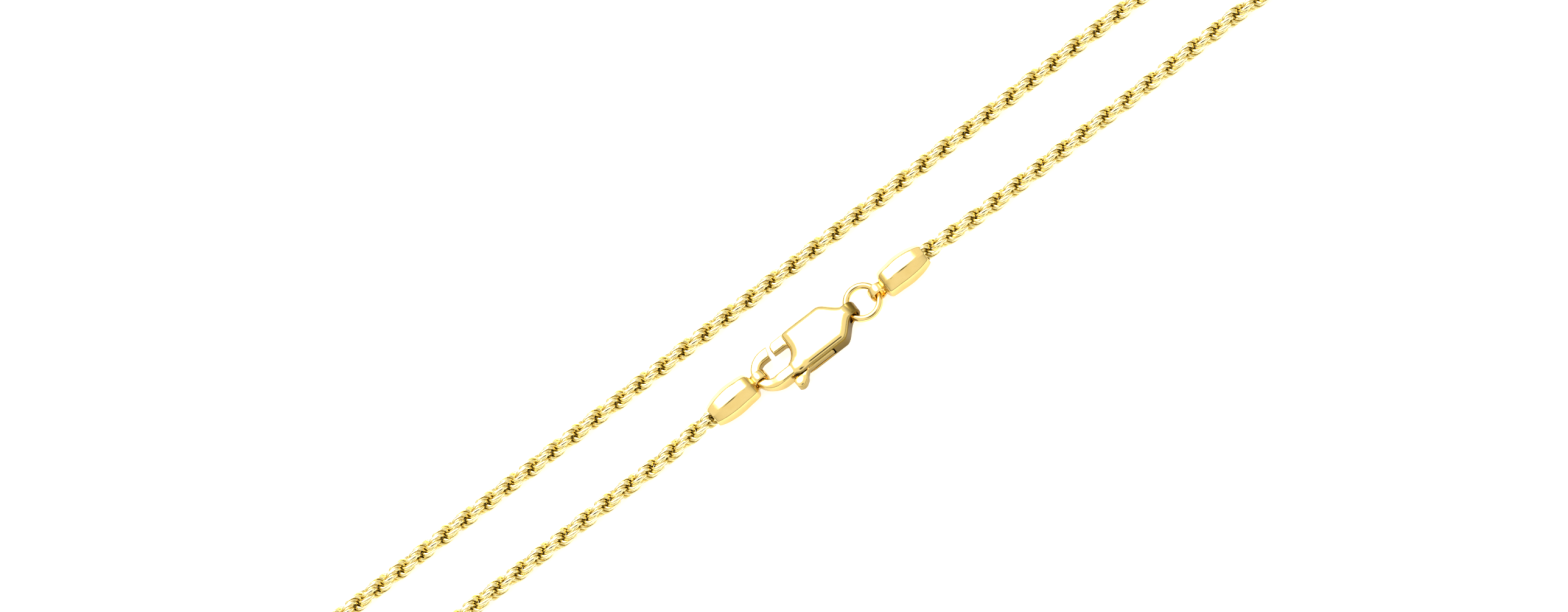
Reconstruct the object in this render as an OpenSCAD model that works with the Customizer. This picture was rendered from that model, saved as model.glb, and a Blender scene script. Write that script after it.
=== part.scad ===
// Rope chain necklace with a lobster clasp, lying on a surface as one closed loop.
// The two strands run along X, the clasp is in the strand on the -Y side, +Z is up.
// The origin is the middle of the loop, on the surface that it lies on. Millimetres.

/* [Loop] */
// Distance between the two strands, middle to middle
strand_gap = 7.4; // [7:0.2:10]
// Length of the straight stretch of both strands
straight_len = 96; // [80:2:140]
// Length of the round end of the loop, past the straight stretch
lobe_len = 55.9; // [45:0.1:75]
// Width of the round end of the loop, middle to middle
lobe_w = 29.6; // [24:0.2:40]

/* [Rope] */
// Diameter over the twisted links
rope_d = 1.5; // [1.3:0.05:1.7]
// Length of rope held inside each end cap
rope_seat = 1.5; // [1:0.1:2.2]

/* [End caps] */
// Length from the tip of the eye to the mouth
cap_len = 6; // [5.6:0.1:7]
// Widest size, measured across two opposite flats
cap_w = 2.6; // [2.4:0.05:2.9]
// Size across the flats where the body narrows into the eye
cap_neck_w = 1.4; // [1.2:0.05:1.7]
// Wall left around the rope at the mouth
mouth_wall = 0.14; // [0.1:0.02:0.2]
// Width of the eye along its hole
eye_w = 0.9; // [0.7:0.05:1]
// Wall around the hole of the eye
eye_wall = 0.22; // [0.18:0.02:0.3]

/* [Clasp body] */
// Width of the body
body_w = 4.3; // [4.1:0.05:4.7]
// Thickness of the body
body_t = 2; // [1.9:0.05:2.3]
// Length from the face that the gate leaves to the hole in the tail
body_len = 6.05; // [5.9:0.05:6.6]
// Length of the shoulders that narrow to the tail
shoulder_len = 2.2; // [1.8:0.05:2.5]
// Radius along the long edges of the body
body_edge = 0.5; // [0.3:0.05:0.6]
// Width of the tail
tail_w = 1.2; // [1:0.05:1.4]
// Wall around the hole in the tail
tail_wall = 0.25; // [0.2:0.01:0.35]
// Distance of the clasp's middle line from the strand's middle line
clasp_shift = 0.1; // [0:0.05:0.2]

/* [Clasp hook] */
// Distance by which the hook is narrower than the body, on each side
hook_inset = 0.1; // [0:0.02:0.2]
// Inner radius of the hook
hook_in_r = 0.93; // [0.85:0.01:1]
// Width of the hook at its bend, where the end cap hangs
bend_w = 0.85; // [0.75:0.01:0.9]
// Thickness of the hook
hook_t = 0.95; // [0.85:0.05:1.05]
// Radius of the hook's edges
hook_edge = 0.3; // [0.2:0.01:0.35]
// Distance from the body's face to the middle of the hook's bend
hook_reach = 2.08; // [1.95:0.02:2.3]
// Thickness of the arm that joins the hook to the body
arm_t = 1.4; // [1.2:0.05:1.6]
// Radius of the body's wall inside the hook
throat_r = 1.5; // [1.3:0.05:1.6]

/* [Clasp lever] */
// Thickness of the lever
lever_t = 0.85; // [0.7:0.05:0.9]
// Gap between the hook's tip and the gate
gate_gap = 0.14; // [0.1:0.01:0.2]
// Length of gate that shows between the hook's tip and the body
gate_len = 1.37; // [1.2:0.01:1.45]
// Distance of the pin from the face that the gate leaves
pin_inset = 1.75; // [1.6:0.05:1.9]
// Distance of the pin from the gate's middle line
pin_drop = 1.06; // [0.95:0.01:1.2]
// Diameter of the pin
pin_d = 0.7; // [0.6:0.05:0.8]
// Length of the pin
pin_len = 1.5; // [1.3:0.05:1.6]
// Radius of the lever around the pin
boss_r = 0.7; // [0.6:0.05:0.8]
// Radius of the lever's stem where it leaves the body
stem_r = 0.45; // [0.35:0.05:0.5]
// Radius of the round end of the thumb tab
tab_r = 0.62; // [0.5:0.02:0.7]
// Length of the thumb tab, from its round end to its tail
tab_len = 1.95; // [1.6:0.05:2.1]
// Angle through which the lever opens
swing = 28; // [20:1:30]

/* [Jump ring] */
// Outer diameter of the ring
ring_d = 3.58; // [3.4:0.02:4]
// Diameter of the ring's wire
ring_wire = 0.63; // [0.5:0.01:0.7]
// Angle of the ring to the surface
ring_tilt = 10; // [4:1:12]

/* [Fits] */
// Gap around what passes through an eye
eye_gap = 0.05; // [0.03:0.01:0.1]
// Gap between the rope and the mouth of a cap
mouth_gap = 0.04; // [0.02:0.01:0.08]
// Gap on each flat side of the lever
side_gap = 0.06; // [0.04:0.01:0.1]
// Gap around the outline of the lever inside the body
slot_gap = 0.1; // [0.06:0.01:0.14]
// Gap around the pin
pin_gap = 0.02; // [0.01:0.01:0.04]

/* [Hidden] */
$fn = 64;
// Overshoot of a cut past the surface that it opens
over = 0.2;

// One quarter of the loop, from the middle of the far strand to the loop's right end.
// Shares of the lobe's length, with the share of its spread and then of its half width
spread = [[0.125, 0.036], [0.25, 0.135], [0.376, 0.297], [0.492, 0.523], [0.605, 0.82],
          [0.669, 0.955], [0.737, 1]];
turn = [[0.805, 0.966], [0.869, 0.865], [0.923, 0.703], [0.966, 0.5], [0.991, 0.257], [1, 0]];
straight_steps = 4;
straight_half = straight_len / 2;
strand_half = strand_gap / 2;
lobe_half = lobe_w / 2;
quarter = concat(
    [for (i = [0 : straight_steps]) [straight_half * i / straight_steps, strand_half]],
    [for (p = spread) [straight_half + lobe_len * p[0], strand_half + (lobe_half - strand_half) * p[1]]],
    [for (p = turn) [straight_half + lobe_len * p[0], lobe_half * p[1]]]);
// Points of the near strand that the rise into a cap takes the place of
near_skip = 2;
// Length over which the rope rises from the surface into a cap, and its steps
rise_len = 7;
rise_steps = 4;

// Place of the clasp's own zero along the strand, and of the face that the gate leaves
clasp_x = -0.8;
face_x = -2.25;
strand_y = -strand_half;
clasp_y = strand_y + clasp_shift;
mid_z = body_t / 2;

rope_sides = 8;
rope_corner = rope_d / 2 / cos(180 / rope_sides);
rope_z = rope_d / 2;

// The hook, the gate and the arm share one width and one upper line
gate_over = 0.1;
hook_out_r = body_w / 2 - hook_inset;
gate_w = hook_out_r - hook_in_r;
gate_top = body_w / 2 + gate_over;
gate_y = gate_top - gate_w / 2;
gate_x = face_x - gate_len;
tip_x = gate_x - gate_gap;
tip_slant = 15;
hook_x = face_x - hook_reach;
hook_y = gate_top - hook_out_r;
bend_x = hook_x - hook_out_r + bend_w + hook_in_r;
arm_y = hook_y - hook_in_r - gate_w / 2;
arm_low = hook_y - hook_out_r;
throat_y = hook_y - hook_in_r + throat_r;
throat_x = face_x - throat_r;
corner_r = 0.7;
nose_r = 0.35;
nose_len = 0.95;
throat_turn = 66;
shoulder_steps = 12;

pin_x = face_x + pin_inset;
pin_rise = gate_y - pin_drop;
pin_r = pin_d / 2;
slot_t = lever_t + 2 * side_gap;
slot_step = 4;
stem_back = 1;
stem_inset = 0.25;
stem_end = [pin_x - stem_back, stem_inset - body_w / 2];
tab_tail_r = 0.3;
tab_drop = 0.48;
tab_back = 0.7;
tab_end = [pin_x - tab_back - tab_len, arm_low - slot_gap - tab_r];
tab_tail = tab_end + [tab_len, tab_drop];

wire_r = ring_wire / 2;
ring_r = ring_d / 2 - wire_r;
// How far a circle bends away from its tangent over a half width
function sag(r, half) = r - sqrt(r * r - half * half);
tail_sag = sag(ring_r, tail_w / 2) / 2;
tail_slope = cos(asin(tail_w / 2 / ring_r));
tail_hole_r = wire_r / tail_slope + norm([tail_sag, tail_w / 2 * tan(ring_tilt)]) + eye_gap;
tail_out_r = tail_hole_r + tail_wall;
tail_x = face_x + body_len;
ring_x = tail_x + ring_r - tail_sag;

bend_corner = norm([bend_w / 2 - hook_edge, hook_t / 2 - hook_edge]) + hook_edge;
bend_sag = sag(hook_in_r, eye_w / 2) / 2;
eye_hole_r = bend_corner + bend_sag + eye_gap;
eye_r = eye_hole_r + eye_wall;
hook_eye = [hook_x - hook_out_r + bend_w / 2 + bend_sag, hook_y];
ring_eye = [ring_x + ring_r + (eye_hole_r - wire_r) / 3, -clasp_shift];
// Distance from the eye's hole to the mouth, and the turn that leads back to the strand
mouth_x = cap_len - eye_r;
cap_turn = asin((hook_y + clasp_shift) / mouth_x);

flat = cos(22.5);
cap_z = cap_w / 2;
cap_r = cap_w / 2 / flat;
neck_r = cap_neck_w / 2 / flat;
bore_r = rope_corner + mouth_gap;
mouth_r = (bore_r + mouth_wall) / flat;
neck_share = 0.85;
wide_share = 0.54;
neck_x = eye_hole_r * neck_share;
wide_x = neck_x + (mouth_x - neck_x) * wide_share;
// Sections from the neck to the widest place: share of the length between them, share of
// the growth in radius, share of the drop from the cap's axis to its eye
flare = [[0, 0, 1], [0.09, 0.37, 0.85], [0.2, 0.57, 0.6], [0.37, 0.77, 0.35],
         [0.6, 0.92, 0.12], [1, 1, 0]];
// Sections from the widest place to the mouth: share of the length, share of the radius
taper = [[0.26, 0.86], [0.49, 0.65], [0.73, 0.38], [0.91, 0.15], [1, 0]];

function polar(c, r, a) = c + r * [cos(a), sin(a)];
function arc(c, r, a0, a1, n = 10) = [for (i = [0 : n]) polar(c, r, a0 + (a1 - a0) * i / n)];
function reversed(v) = [for (i = [len(v) - 1 : -1 : 0]) v[i]];
function after(v, n) = [for (i = [n : len(v) - 1]) v[i]];

// The path of the rope, from its end in one cap round the loop to its end in the other
function at_rest(v, sx, sy) = [for (p = v) [sx * p[0], sy * p[1], rope_z]];
function rise(mouth, inward) = concat(
    [mouth + rope_seat * inward],
    [for (i = [0 : rise_steps])
        let (s = i / rise_steps, out = inward[0] > 0 ? -1 : 1)
        [mouth[0] + out * rise_len * s, mouth[1], rope_z + (cap_z - rope_z) * (1 + cos(180 * s)) / 2]]);
hook_mouth = [clasp_x + hook_eye[0] - mouth_x * cos(cap_turn), strand_y, cap_z];
ring_mouth = [clasp_x + ring_eye[0] + mouth_x, strand_y, cap_z];
rope_path = concat(
    rise(ring_mouth, [-1, 0, 0]),
    at_rest(after(quarter, near_skip), 1, -1),
    at_rest(after(reversed(quarter), 1), 1, 1),
    at_rest(after(quarter, 1), -1, 1),
    at_rest(after(reversed(after(quarter, near_skip)), 1), -1, -1),
    reversed(rise(hook_mouth, [cos(cap_turn), sin(cap_turn), 0])));

function unit(v) = v / norm(v);
function heading(v, i) = unit(v[min(i + 1, len(v) - 1)] - v[max(i - 1, 0)]);
// One ring of the rope's tube, with a flat below
function tube_ring(v, i) =
    let (t = heading(v, i), side = unit(cross(t, [0, 0, 1])), up = cross(side, t))
    [for (k = [0 : rope_sides - 1])
        let (a = (k + 0.5) * 360 / rope_sides)
        v[i] + rope_corner * (cos(a) * side + sin(a) * up)];
// Faces of rings of points joined one after the other, closed at both ends
function skin_faces(rings, sides) = concat(
    [[for (k = [sides - 1 : -1 : 0]) k]],
    [for (i = [0 : rings - 2], k = [0 : sides - 1])
        let (a = i * sides, b = a + sides, n = (k + 1) % sides)
        [a + k, a + n, b + n, b + k]],
    [[for (k = [0 : sides - 1]) (rings - 1) * sides + k]]);

// The tube that the twisted links fill
module rope_chain() {
    rings = [for (i = [0 : len(rope_path) - 1]) tube_ring(rope_path, i)];
    color("goldenrod")
        polyhedron([for (r = rings) each r], skin_faces(len(rings), rope_sides), convexity = 6);
}

// One eight sided section of a cap: place along it, radius, height of its middle
function cap_ring(x, r, z) = [for (k = [0 : 7])
    let (a = 22.5 - 45 * k)
    [x, r * cos(a), z + r * sin(a)]];

// An end cap along X, with its eye's hole over the origin
module end_cap() {
    drop = cap_z - mid_z;
    rings = concat(
        [for (s = flare)
            cap_ring(neck_x + (wide_x - neck_x) * s[0], neck_r + (cap_r - neck_r) * s[1],
                     cap_z - drop * s[2])],
        [for (s = taper)
            cap_ring(wide_x + (mouth_x - wide_x) * s[0], mouth_r + (cap_r - mouth_r) * s[1], cap_z)]);
    difference() {
        union() {
            polyhedron([for (r = rings) each r], skin_faces(len(rings), 8), convexity = 4);
            translate([0, 0, mid_z])
                rotate([90, 0, 0])
                    cylinder(h = eye_w, r = eye_r, center = true);
        }
        translate([0, 0, mid_z])
            rotate([90, 0, 0])
                cylinder(h = cap_w, r = eye_hole_r, center = true);
        translate([mouth_x - rope_seat - over, 0, cap_z])
            rotate([0, 90, 0])
                cylinder(h = rope_seat + 2 * over, r = bore_r);
    }
}

module in_clasp() {
    translate([clasp_x, clasp_y, 0])
        children();
}

// The cap that hangs on the clasp's hook
module hook_end_cap() {
    color("gold")
        in_clasp()
            translate([hook_eye[0], hook_eye[1], 0])
                rotate([0, 0, 180 + cap_turn])
                    end_cap();
}

// The cap that the jump ring holds
module ring_end_cap() {
    color("gold")
        in_clasp()
            translate([ring_eye[0], ring_eye[1], 0])
                end_cap();
}

// Two circles joined by their outer tangents
module tapered_bar(p, rp, q, rq) {
    a = atan2(q[1] - p[1], q[0] - p[0]);
    b = acos((rp - rq) / norm(q - p));
    translate(p)
        circle(r = rp);
    translate(q)
        circle(r = rq);
    polygon([polar(p, rp, a - b), polar(q, rq, a - b), polar(q, rq, a + b), polar(p, rp, a + b)]);
}

// A centred rectangle with round corners
module soft_rectangle(w, h, r) {
    square([w - 2 * r, h], center = true);
    square([w, h - 2 * r], center = true);
    for (i = [-1, 1], j = [-1, 1])
        translate([i * (w / 2 - r), j * (h / 2 - r)])
            circle(r = r);
}

// A bar along X with round edges
module soft_bar(x0, x1, y, w, t, r) {
    translate([x0, y, 0])
        rotate([90, 0, 90])
            linear_extrude(x1 - x0)
                soft_rectangle(w, t, r);
}

// Outline of the lever from above, larger by g: gate, boss, stem and thumb tab
module lever_outline(g) {
    head = [gate_x + gate_w / 2, gate_y];
    root = [face_x, gate_y];
    pin = [pin_x, pin_rise];
    tapered_bar(head, gate_w / 2 + g, root, gate_w / 2 + g - 0.001);
    translate([gate_x - g, gate_y - gate_w / 2 - g])
        square([gate_w / 2 + g, gate_w / 2 + g]);
    tapered_bar(root, gate_w / 2 + g, pin, boss_r + g);
    tapered_bar(pin, boss_r + g, stem_end, stem_r + g);
    tapered_bar(stem_end, stem_r + g, tab_tail, tab_tail_r + g);
    tapered_bar(tab_end, tab_r + g, tab_tail, tab_tail_r + g);
}

// Outline of the clasp's body from above, with its shoulders and its throat
module body_outline() {
    h = body_w / 2;
    shoulder = [for (i = [0 : shoulder_steps])
        let (s = i / shoulder_steps)
        [tail_x - shoulder_len * (1 - s), tail_w / 2 + (h - tail_w / 2) * (1 + cos(180 * s)) / 2]];
    polygon(concat(
        arc([face_x - nose_len + corner_r, corner_r - h], corner_r, 180, 270),
        [for (p = shoulder) [p[0], -p[1]]],
        reversed(shoulder),
        arc([face_x + nose_r, h - nose_r], nose_r, 90, 180),
        arc([throat_x, throat_y], throat_r, 0, -throat_turn)));
}

// A disc with a round rim
module hook_disc() {
    rotate_extrude() {
        translate([0, -hook_t / 2])
            square([hook_out_r - hook_edge, hook_t]);
        translate([0, hook_edge - hook_t / 2])
            square([hook_out_r, hook_t - 2 * hook_edge]);
        for (j = [-1, 1])
            translate([hook_out_r - hook_edge, j * (hook_t / 2 - hook_edge)])
                circle(r = hook_edge);
    }
}

// A round hole through the disc, with round edges
module hook_hole() {
    rotate_extrude()
        difference() {
            translate([0, -body_t])
                square([hook_in_r + hook_edge, 2 * body_t]);
            translate([hook_in_r, hook_edge - hook_t / 2])
                square([2 * hook_edge, hook_t - 2 * hook_edge]);
            for (j = [-1, 1])
                translate([hook_in_r + hook_edge, j * (hook_t / 2 - hook_edge)])
                    circle(r = hook_edge);
        }
}

// The bend of the hook
module hook_bend() {
    big = 2 * hook_out_r;
    difference() {
        intersection() {
            translate([hook_x, hook_y, 0])
                hook_disc();
            translate([hook_x - big, hook_y - big, -body_t])
                cube([big, 2 * big, 2 * body_t]);
        }
        translate([bend_x, hook_y, 0])
            hook_hole();
    }
}

module clasp_plate() {
    difference() {
        intersection() {
            linear_extrude(body_t)
                body_outline();
            translate([0, 0, mid_z])
                soft_bar(face_x - nose_len - over, tail_x + over, 0, body_w, body_t, body_edge);
        }
        translate([0, 0, mid_z - slot_t / 2])
            linear_extrude(slot_t)
                for (a = [0 : slot_step : swing])
                    translate([pin_x, pin_rise])
                        rotate(a)
                            translate([-pin_x, -pin_rise])
                                lever_outline(slot_gap);
        translate([pin_x, pin_rise, mid_z])
            cylinder(h = pin_len + 2 * pin_gap, r = pin_r + pin_gap, center = true);
    }
}

module clasp_hook() {
    translate([0, 0, mid_z])
        difference() {
            union() {
                hook_bend();
                soft_bar(hook_x, tip_x + over, gate_y, gate_w, hook_t, hook_edge);
                soft_bar(hook_x, face_x - nose_len / 2, arm_y, gate_w, arm_t, hook_edge);
            }
            translate([bend_x, hook_y, 0])
                cylinder(h = 2 * body_t, r = hook_in_r, center = true);
            translate([tip_x, gate_y + gate_w / 2, 0])
                rotate([0, 0, -tip_slant])
                    translate([0, -2 * gate_w, -body_t])
                        cube([2 * gate_w, 3 * gate_w, 2 * body_t]);
        }
}

module clasp_tail() {
    translate([tail_x, 0, mid_z])
        rotate([90, 0, 0])
            cylinder(h = tail_w, r = tail_out_r, center = true);
}

// Hook, body and tail, which are one casting
module clasp_body() {
    color("khaki")
        in_clasp()
            difference() {
                union() {
                    clasp_plate();
                    clasp_hook();
                    clasp_tail();
                }
                translate([tail_x, 0, mid_z])
                    rotate([90, 0, 0])
                        cylinder(h = body_w, r = tail_hole_r, center = true);
            }
}

// The gate that closes the hook, with its thumb tab
module clasp_lever() {
    color("gold")
        in_clasp()
            difference() {
                translate([0, 0, mid_z - lever_t / 2])
                    linear_extrude(lever_t)
                        lever_outline(0);
                translate([pin_x, pin_rise, mid_z])
                    cylinder(h = body_t, r = pin_r + pin_gap, center = true);
            }
}

// The hidden pin that the lever turns on
module pivot_pin() {
    color("darkgoldenrod")
        in_clasp()
            translate([pin_x, pin_rise, mid_z])
                cylinder(h = pin_len, r = pin_r, center = true);
}

// The ring that joins the clasp's tail to its end cap
module jump_ring() {
    color("gold")
        in_clasp()
            translate([ring_x, 0, mid_z])
                rotate([ring_tilt, 0, 0])
                    rotate_extrude()
                        translate([ring_r, 0])
                            circle(r = wire_r);
}

rope_chain();
hook_end_cap();
ring_end_cap();
clasp_body();
clasp_lever();
pivot_pin();
jump_ring();
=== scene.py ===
"""Rope chain necklace with a lobster clasp: its looks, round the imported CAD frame.

Lengths are millimetres until a mesh is made, and MM turns them to metres. The loop lies on
the floor, z = 0, with its two strands along X and the clasp in the strand on the -Y side.
The clasp's own places are measured from its middle, as in the part's source.
"""
import math

import bpy
import numpy as np
from mathutils import Matrix, Vector


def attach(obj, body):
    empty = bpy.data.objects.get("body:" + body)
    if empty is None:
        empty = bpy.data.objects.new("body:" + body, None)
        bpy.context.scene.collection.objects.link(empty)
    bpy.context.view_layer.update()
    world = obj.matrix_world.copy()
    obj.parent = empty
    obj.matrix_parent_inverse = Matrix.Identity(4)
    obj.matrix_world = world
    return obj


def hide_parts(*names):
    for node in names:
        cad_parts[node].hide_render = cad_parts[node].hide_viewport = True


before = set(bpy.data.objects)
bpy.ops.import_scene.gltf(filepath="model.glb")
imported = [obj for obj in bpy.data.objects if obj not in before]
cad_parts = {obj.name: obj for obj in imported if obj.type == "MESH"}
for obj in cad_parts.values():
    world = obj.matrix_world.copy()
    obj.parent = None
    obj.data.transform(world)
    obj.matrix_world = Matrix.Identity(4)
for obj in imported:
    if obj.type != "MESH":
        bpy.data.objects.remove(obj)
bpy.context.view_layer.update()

MM = 0.001

# The loop, as in the part's source: gap between the strands' middles, straight length, and
# each round end. SPREAD and TURN give a round end as shares of its length and half width
STRAND_GAP, STRAIGHT_LEN, LOBE_LEN, LOBE_W = 7.4, 96.0, 55.9, 29.6
SPREAD = [(0.125, 0.036), (0.25, 0.135), (0.376, 0.297), (0.492, 0.523), (0.605, 0.82),
          (0.669, 0.955), (0.737, 1)]
TURN = [(0.805, 0.966), (0.869, 0.865), (0.923, 0.703), (0.966, 0.5), (0.991, 0.257), (1, 0)]
# Stretches in half a straight strand, and how many of them the clasp takes up
STRAIGHT_STEPS, NEAR_SKIP = 4, 2
# The rope's rise from the floor to a cap, its width, and how far it goes into the cap
RISE_LEN, RISE_STEPS = 7.0, 4
ROPE_D, ROPE_SEAT = 1.5, 1.5

# The links: the rope's half turn and the turn from one link to the next; wire, a share wider
# on the rope's outside, where it is hammered; circle, how far its middle sits from the
# rope's, and its lean to it; where the C is open and how wide; sides round circle and wire,
# and how much closer the circle's are outside; and the round that the outside is cut to
HALF_TURN_LEN, LINK_TURN = 2.385, 18.0
WIRE_D, WIRE_WIDER = 0.285, 0.1
LINK_R, LINK_OUT, LINK_LEAN = 0.725, 0.078, 83.0
LINK_GAP_AT, LINK_GAP = 262.0, 38.0
LINK_SIDES, WIRE_SIDES, SIDES_OUTSIDE = 16, 6, 0.4
CUT_R, CUT_SOFT = 0.78, 0.03

# The clasp, as in the part's source: its middle in the loop, its plate and tail
CLASP_X, CLASP_Y, MID_Z = -0.8, -3.6, 1.0
FACE_X, BODY_W, BODY_T, BODY_LEN, SHOULDER_LEN = -2.25, 4.3, 2.0, 6.05, 2.2
CORNER_R, NOSE_R, NOSE_LEN, THROAT_R, THROAT_TURN = 0.7, 0.35, 0.95, 1.5, 66.0
TAIL_W, TAIL_WALL = 1.2, 0.25
# Hook: inner radius, thickness at the bend and along the arm, reach, width and tip
HOOK_IN_R, HOOK_T, HOOK_EDGE, HOOK_REACH, ARM_T = 0.93, 0.95, 0.3, 2.08, 1.4
BEND_W, GATE_GAP, GATE_LEN, GATE_OVER, TIP_SLANT = 0.85, 0.14, 1.37, 0.1, 15.0
HOOK_OUT_R = BODY_W / 2 - 0.1
GATE_W = HOOK_OUT_R - HOOK_IN_R
GATE_TOP = BODY_W / 2 + GATE_OVER
GATE_Y = GATE_TOP - GATE_W / 2
GATE_X = FACE_X - GATE_LEN
TIP_X = GATE_X - GATE_GAP
HOOK_X, HOOK_Y = FACE_X - HOOK_REACH, GATE_TOP - HOOK_OUT_R
BEND_X = HOOK_X - HOOK_OUT_R + BEND_W + HOOK_IN_R
ARM_LOW = HOOK_Y - HOOK_OUT_R
# Pin and lever, with the gaps round the lever and the angle that it swings through
PIN = np.array([FACE_X + 1.75, GATE_Y - 1.06])
PIN_R, PIN_LEN, PIN_GAP = 0.35, 1.5, 0.02
LEVER_T, SIDE_GAP, SLOT_GAP, BOSS_R, STEM_R = 0.85, 0.06, 0.1, 0.7, 0.36
STEM_END = np.array([PIN[0] - 1.0, 0.38 - BODY_W / 2])
TAB_R, TAB_LEN, TAB_BACK = 0.62, 1.95, 0.7
TAB_END = np.array([PIN[0] - TAB_BACK - TAB_LEN, ARM_LOW - SLOT_GAP - TAB_R])
SWING = 28

# What casting and tumbling make of it. How much fuller the lower shoulder is and the arm;
# how far plate and hook are worn down at their outline and over what width; the slope of the
# plate above the gate, where it starts from the left face, and its length
LOW_FULL, ARM_FULL = 0.15, 0.06
BODY_CROWN, BODY_CROWN_W, HOOK_CROWN, HOOK_CROWN_W = 0.24, 0.8, 0.09, 0.4
GATE_SLOPE, GATE_SLOPE_FROM, GATE_SLOPE_LEN = 0.14, 0.9, 1.1
# The arm's thickness grows over this length from before the hook's middle
ARM_GROWS_FROM, ARM_GROWS_LEN = 1.4, 1.6
# Round edges, fillets between the forms, and how far the cut edges are eased
BODY_EDGE, HOOK_SOFT_EDGE, TAIL_EDGE, LEVER_EDGE = 0.3, 0.18, 0.14, 0.16
ARM_FILLET, TAIL_FILLET, STEM_FILLET, LEVER_FILLET = 0.22, 0.2, 0.3, 0.08
TIP_EASE, GATE_EASE, HOLE_EASE, SLOT_EASE, PIN_EASE = 0.04, 0.04, 0.06, 0.05, 0.02
# The lever: worn edge, a tab that swells, a thinner stem, the tab's drop as a row of circles,
# and the guard in the slot's mouth, as radius, width, middle angle and angle taken up
LEVER_CROWN, LEVER_CROWN_W, TAB_SWELL, STEM_THINNER = 0.06, 0.4, 0.1, 0.05
TAB_DROP_ROW = [(TAB_END + [1.1, 0.68], 0.27), (TAB_END + [0.66, 0.42], 0.34),
                (TAB_END + [0.24, 0.14], 0.52), (TAB_END + [-0.04, 0.02], 0.61)]
GUARD_R, GUARD_W, GUARD_AT, GUARD_SPAN = 2.5, 1.0, -90.0, 48.0
# Degrees between the lever's places that the slot is cut for, and the cubes for the skins
SLOT_STEP, CASTING_CUBE, LEVER_CUBE = 2, 0.054, 0.045

# The jump ring: width over all, wire, tilt, gap to what it passes through, and mesh steps
RING_D, RING_WIRE, RING_TILT, EYE_GAP = 3.58, 0.63, 10.0, 0.05
RING_STEPS, RING_SIDES = 96, 28
WIRE_R = RING_WIRE / 2
RING_R = RING_D / 2 - WIRE_R


def sag(r, half):
    """How far a circle of radius r bends away from its tangent over a half width."""
    return r - math.sqrt(r * r - half * half)


TAIL_SAG = sag(RING_R, TAIL_W / 2) / 2
TAIL_HOLE_R = (WIRE_R / math.cos(math.asin(TAIL_W / 2 / RING_R)) + EYE_GAP
               + math.hypot(TAIL_SAG, TAIL_W / 2 * math.tan(math.radians(RING_TILT))))
TAIL_OUT_R = TAIL_HOLE_R + TAIL_WALL
TAIL_X = FACE_X + BODY_LEN
RING_X = TAIL_X + RING_R - TAIL_SAG

# The end caps, as in the part's source
CAP_LEN, CAP_W, CAP_NECK_W, MOUTH_WALL, MOUTH_GAP = 6.0, 2.6, 1.4, 0.14, 0.04
EYE_W, EYE_WALL = 0.9, 0.22
BEND_CORNER = math.hypot(BEND_W / 2 - HOOK_EDGE, HOOK_T / 2 - HOOK_EDGE) + HOOK_EDGE
BEND_SAG = sag(HOOK_IN_R, EYE_W / 2) / 2
EYE_HOLE_R = BEND_CORNER + BEND_SAG + EYE_GAP
EYE_R = EYE_HOLE_R + EYE_WALL
HOOK_EYE = (HOOK_X - HOOK_OUT_R + BEND_W / 2 + BEND_SAG, HOOK_Y)
RING_EYE = (RING_X + RING_R + (EYE_HOLE_R - WIRE_R) / 3, -0.1)
MOUTH_X = CAP_LEN - EYE_R
CAP_TURN = math.degrees(math.asin((HOOK_Y + 0.1) / MOUTH_X))
CAP_Z = CAP_W / 2
FLAT = math.cos(math.radians(22.5))
BORE_R = ROPE_D / 2 / FLAT + MOUTH_GAP
NECK_X = EYE_HOLE_R * 0.85
WIDE_X = NECK_X + (MOUTH_X - NECK_X) * 0.54
# The cap's outline, as shares of a stretch's length and of its change in radius, and in FLARE
# also of the drop of its middle line
FLARE = [(0, 0, 1), (0.09, 0.37, 0.85), (0.2, 0.57, 0.6), (0.37, 0.77, 0.35),
         (0.6, 0.92, 0.12), (1, 1, 0)]
TAPER = [(0.26, 0.86), (0.49, 0.65), (0.73, 0.38), (0.91, 0.15), (1, 0)]
# What stamping and the wheel make of it: a neck fuller by NECK_FULL over NECK_FULL_LEN, whose
# round end starts at a share of its radius; a round mouth that closes to RIM_R; a lip inside
# it; and an outside a share wider than high
NECK_FULL, NECK_FULL_LEN, NECK_ROUND, NECK_END = 0.17, 1.5, 0.4, 0.55
MOUTH_ROUND, RIM_R, LIP_IN, LIP_DEPTH, BORE_DEPTH = 1.1, CUT_R + 0.12, 0.02, 0.03, 0.12
CAP_WIDER, EYE_EDGE, EYE_STEPS, EYE_SIDES = 1.06, 0.1, 64, 24
# How far apart the cap's sections are, and how many more each round end has
CAP_STEP, END_STEPS = 0.1, 8
# Points along half a flat of the octagon, as shares of it, and the share left off for ridges
FLAT_POINTS, RIDGE_SHARE = np.array([-1, -0.82, -0.6, 0, 0.6, 0.82, 1]), 0.1


# ---- Making meshes ----

def linear(hex_colour):
    """An sRGB hex colour as linear red, green, blue and 1: v / 12.92 up to 0.04045, and
    above it ((v + 0.055) / 1.055) to the power of 2.4."""
    v = np.array([int(hex_colour[i:i + 2], 16) for i in (1, 3, 5)]) / 255
    v = np.where(v <= 0.04045, v / 12.92, ((v + 0.055) / 1.055) ** 2.4)
    return (*v.tolist(), 1.0)


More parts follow.
